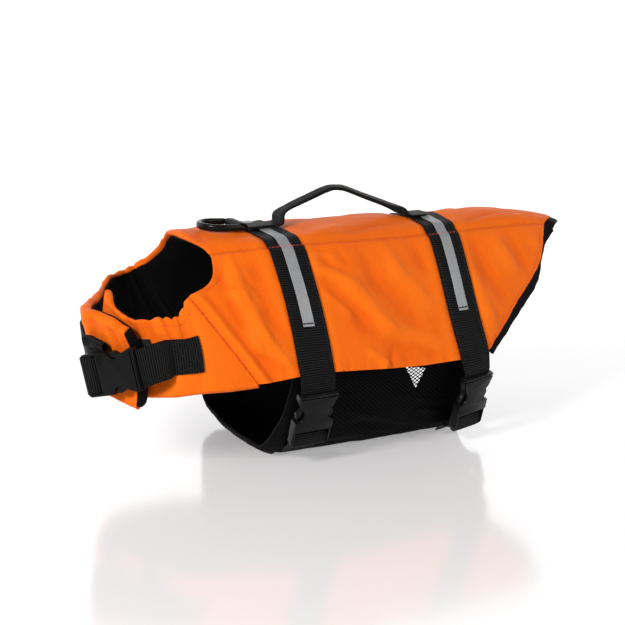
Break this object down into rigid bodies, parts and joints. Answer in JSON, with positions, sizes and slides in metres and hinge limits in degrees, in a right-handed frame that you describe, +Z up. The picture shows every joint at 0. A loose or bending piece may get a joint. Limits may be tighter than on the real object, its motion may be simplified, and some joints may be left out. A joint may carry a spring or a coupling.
{
  "type": "dog life jacket",
  "caption": "Padded dog life jacket, buckled shut with no wearer, with grab handle, leash ring, reflective straps and a mesh belly panel.",
  "frame": {"origin": "on the flat underside of the belly panel, on the middle plane, where the jacket rests", "axes": "+X along the dog's body towards the tail, +Y to the wearer's right (the buckles are on -Y), +Z up"},
  "size_m": [0.5569, 0.2394, 0.2607],
  "materials": {
    "orange_shell": "orange polyester over foam, soft sheen",
    "black_lining": "matt black cloth facing and lining",
    "black_binding": "black folded binding tape",
    "belly_mesh": "even black knitted mesh",
    "black_webbing": "ribbed black webbing",
    "reflective_tape": "silver-grey reflective tape",
    "black_plastic": "satin moulded plastic"
  },
  "bodies": {
    "jacket": {"spine_panel": "orange_shell", "side_panel_left": "orange_shell", "side_panel_right": "orange_shell", "neck_flap_left": "orange_shell", "neck_flap_right": "orange_shell", "body_lining": "black_lining", "rear_rim": "black_lining", "neck_lining_left": "black_lining", "neck_lining_right": "black_lining", "neck_flap_rim": "black_lining", "closure_patch_neck": "black_lining", "belly_binding_front": "black_binding", "belly_binding_rear": "black_binding", "belly_net": "belly_mesh", "back_strap_front": "black_webbing", "back_strap_rear": "black_webbing", "belly_strap_front": "black_webbing", "belly_strap_rear": "black_webbing", "handle_webbing": "black_webbing", "neck_strap_left": "black_webbing", "neck_strap_right": "black_webbing", "neck_loop": "black_webbing", "reflective_tape_front": "reflective_tape", "reflective_tape_rear": "reflective_tape", "buckle_male_front": "black_plastic", "buckle_female_front": "black_plastic", "buckle_male_rear": "black_plastic", "buckle_female_rear": "black_plastic", "buckle_male_neck": "black_plastic", "buckle_female_neck": "black_plastic"},
    "ring": {"d_ring": "black_plastic"}
  },
  "joints": [
    {"name": "ring_hinge", "type": "hinge", "parent": "jacket", "child": "ring", "pos_m": [-0.0815, 0, 0.22949], "axis": [0, 1, 0], "range_deg": [0, 150]}
  ]
}
